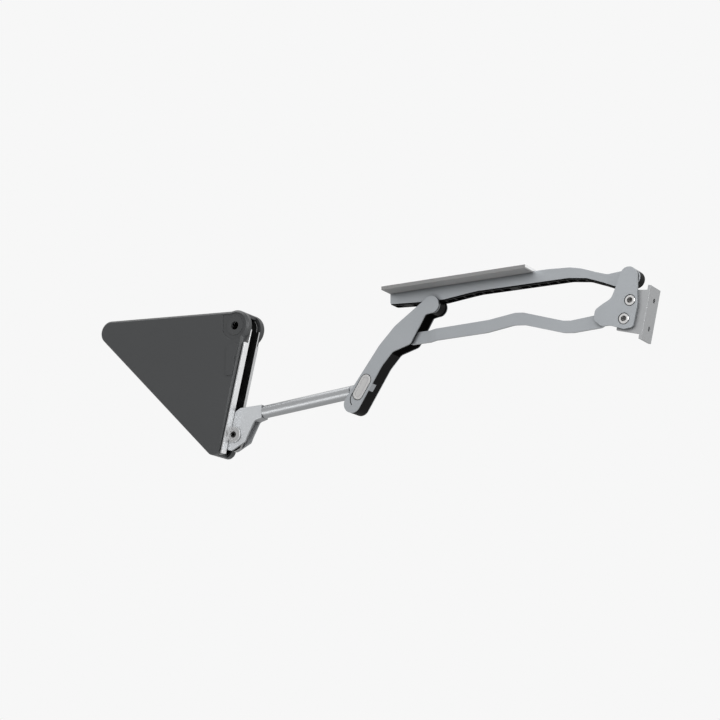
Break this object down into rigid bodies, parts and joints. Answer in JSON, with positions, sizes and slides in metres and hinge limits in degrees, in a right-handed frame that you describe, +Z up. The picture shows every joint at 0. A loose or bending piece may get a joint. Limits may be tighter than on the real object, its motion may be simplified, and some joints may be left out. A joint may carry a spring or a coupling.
{
  "type": "folding lift fitting",
  "caption": "Spring-driven lever fitting that lifts and folds a two-leaf cabinet flap: side housing, crank and tube, forked lever, upper arm, link and door plate.",
  "frame": {"origin": "centre of the front fixing hole, on the face that lies against the side panel", "axes": "+X points from the fitting into the side panel, -Y points out of the cabinet to the front, +Z points up"},
  "size_m": [0.0364, 0.5678, 0.1432],
  "materials": {
    "housing_grey": "fine grain moulded plastic, dark grey",
    "bright_steel": "satin zinc plated steel sheet",
    "silver_cast": "satin silver paint on cast zinc",
    "tube_steel": "drawn tube with a satin plating",
    "black_steel": "black baked paint on pressed steel",
    "black_plastic": "black glass filled plastic",
    "cap_grey": "grey moulded plastic strip",
    "button_grey": "light grey moulded plastic",
    "pin_steel": "turned and ground steel",
    "screw_steel": "zinc plated screws",
    "cam_steel": "hardened steel with a light oil film",
    "carriage_plastic": "low friction black plastic",
    "spring_steel": "spring wire"
  },
  "bodies": {
    "housing": {"wall_shell": "housing_grey", "cover_shell": "housing_grey", "inner_cheek": "bright_steel", "outer_cheek": "bright_steel", "spacer_upper": "pin_steel", "spacer_lower": "pin_steel", "fixing_bush": "pin_steel", "crank_pin": "pin_steel", "cover_screw_rear": "screw_steel", "cover_screw_front": "screw_steel", "cover_screw_lower": "screw_steel", "spring_rod": "pin_steel", "spring_seat": "carriage_plastic", "main_spring": "spring_steel"},
    "lift_arm": {"crank": "silver_cast", "cam_rivet_low": "pin_steel", "cam_rivet_high": "pin_steel", "cam_plate": "cam_steel", "lift_tube": "tube_steel", "tube_knuckle": "silver_cast"},
    "lever": {"lever_core": "black_steel", "lever_inner_cover": "silver_cast", "lever_outer_cover": "silver_cast", "lever_post": "pin_steel", "arm_pivot_pin": "pin_steel", "link_pivot_pin": "pin_steel", "link_sleeve": "pin_steel", "button_spring": "spring_steel"},
    "button": {"release_button": "button_grey"},
    "bracket": {"arm_cover": "silver_cast", "arm_screw_rear": "screw_steel", "arm_screw_front": "screw_steel", "arm_core": "black_plastic", "base_plate": "bright_steel", "base_cap": "cap_grey"},
    "link": {"link": "silver_cast"},
    "door_plate": {"door_plate": "silver_cast", "door_pivot_pin": "pin_steel", "door_spacer": "pin_steel", "link_end_pin": "pin_steel", "ring_screw_upper": "screw_steel", "ring_screw_lower": "screw_steel", "door_foot": "bright_steel"},
    "carriage": {"spring_carriage": "carriage_plastic", "roller_pin": "pin_steel"},
    "cam_roller": {"cam_roller": "pin_steel"}
  },
  "joints": [
    {"name": "lift_pivot", "type": "hinge", "parent": "housing", "child": "lift_arm", "pos_m": [-0.014, 0.004, -0.102], "axis": [-1, 0, 0], "range_deg": [-115, 0]},
    {"name": "lever_pivot", "type": "hinge", "parent": "lift_arm", "child": "lever", "pos_m": [-0.014, -0.134, -0.073], "axis": [-1, 0, 0], "range_deg": [0, 128]},
    {"name": "upper_leaf_pivot", "type": "hinge", "parent": "lever", "child": "bracket", "pos_m": [-0.014, -0.204, -0.006], "axis": [-1, 0, 0], "range_deg": [-103, 0]},
    {"name": "link_pivot", "type": "hinge", "parent": "lever", "child": "link", "pos_m": [-0.014, -0.183, -0.033], "axis": [-1, 0, 0], "range_deg": [-103, 0]},
    {"name": "lower_leaf_pivot", "type": "hinge", "parent": "bracket", "child": "door_plate", "pos_m": [-0.014, -0.393, -0.007], "axis": [-1, 0, 0], "range_deg": [0, 103]},
    {"name": "button_travel", "type": "slide", "parent": "lever", "child": "button", "axis": [1, 0, 0], "range_m": [0, 0.0016], "stiffness_N_per_m": 300},
    {"name": "carriage_travel", "type": "slide", "parent": "housing", "child": "carriage", "axis": [0, 0.7145, 0.6997], "range_m": [0, 0.0061], "deforming": ["main_spring"]},
    {"name": "roller_turn", "type": "hinge", "parent": "carriage", "child": "cam_roller", "pos_m": [-0.014, 0.01422, -0.09199], "axis": [-1, 0, 0], "range_deg": [-10, 280]}
  ],
  "couplings": [
    {"joint": "lever_pivot", "follows": "lift_pivot", "ratio": -1.113},
    {"joint": "upper_leaf_pivot", "follows": "lift_pivot", "ratio": 0.89565},
    {"joint": "link_pivot", "follows": "lift_pivot", "ratio": 0.89565},
    {"joint": "lower_leaf_pivot", "follows": "lift_pivot", "ratio": -0.89565},
    {"joint": "carriage_travel", "follows": "lift_pivot", "m_per_rad": -0.0029893},
    {"joint": "roller_turn", "follows": "lift_pivot", "ratio": -2.4}
  ]
}
